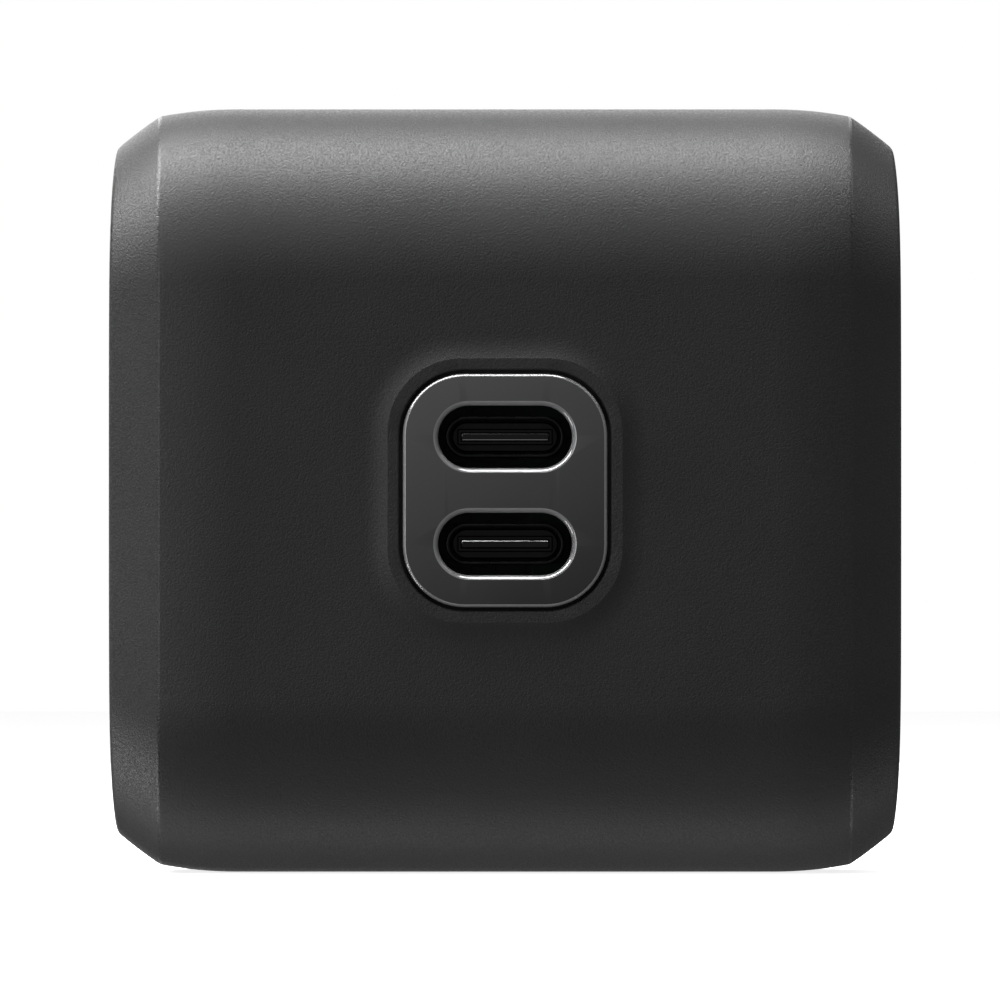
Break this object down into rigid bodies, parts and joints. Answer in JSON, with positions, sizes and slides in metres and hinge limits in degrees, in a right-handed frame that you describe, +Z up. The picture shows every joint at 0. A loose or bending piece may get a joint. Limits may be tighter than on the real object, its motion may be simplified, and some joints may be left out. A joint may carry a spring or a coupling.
{
  "type": "usb wall charger",
  "caption": "Block-shaped mains wall charger with stacked oval USB sockets in a raised front collar and a folding plug in its back.",
  "frame": {"origin": "on the flat back face that rests against the wall plate, half way up and half way across", "axes": "+Y out of the back towards the wall, +Z up, +X to the right when looking at the sockets from the front"},
  "size_m": [0.06, 0.0497, 0.0578],
  "materials": {
    "case": "fine matt texture",
    "bezel": "satin",
    "black_plastic": "satin",
    "steel": "drawn",
    "nickel_plate": "plated, fine grain",
    "spring_bronze": "bright",
    "wire": "smooth insulation",
    "board": "solder mask",
    "film": "thin film",
    "ferrite": "ground",
    "tape": "tape",
    "sleeved_can": "shrink sleeve",
    "winding": "enamelled wire",
    "yellow_box": "moulded",
    "chip": "moulded",
    "bare_can": "drawn can",
    "aluminium": "rolled sheet"
  },
  "bodies": {
    "case": {"front_housing": "case", "rear_cover": "case", "port_bezel": "bezel", "usb_c_shell_upper": "steel", "usb_c_shell_lower": "steel", "usb_c_tongue_upper": "black_plastic", "usb_c_tongue_lower": "black_plastic", "plug_retainer": "black_plastic", "retainer_screw_left": "steel", "retainer_screw_right": "steel", "contact_spring_left": "spring_bronze", "contact_spring_right": "spring_bronze", "mains_wire_left": "wire", "mains_wire_right": "wire", "main_board": "board", "port_board": "board", "insulating_sheet": "film", "transformer_core_left": "ferrite", "transformer_core_right": "ferrite", "transformer_winding": "tape", "input_capacitor_1": "sleeved_can", "input_capacitor_2": "sleeved_can", "input_capacitor_3": "sleeved_can", "common_mode_choke": "winding", "safety_capacitor": "yellow_box", "bridge_rectifier": "chip", "fuse": "bare_can", "power_switch": "chip", "output_capacitor_1": "bare_can", "output_capacitor_2": "bare_can", "board_connector": "black_plastic", "port_controller_upper": "chip", "port_controller_lower": "chip", "heat_spreader": "aluminium"},
    "folding_plug": {"plug_carrier": "black_plastic", "blade_left": "nickel_plate", "blade_right": "nickel_plate"}
  },
  "joints": [
    {"name": "plug_fold", "type": "hinge", "parent": "case", "child": "folding_plug", "pos_m": [0, -0.0037, -0.009], "axis": [1, 0, 0], "range_deg": [0, 90]}
  ]
}
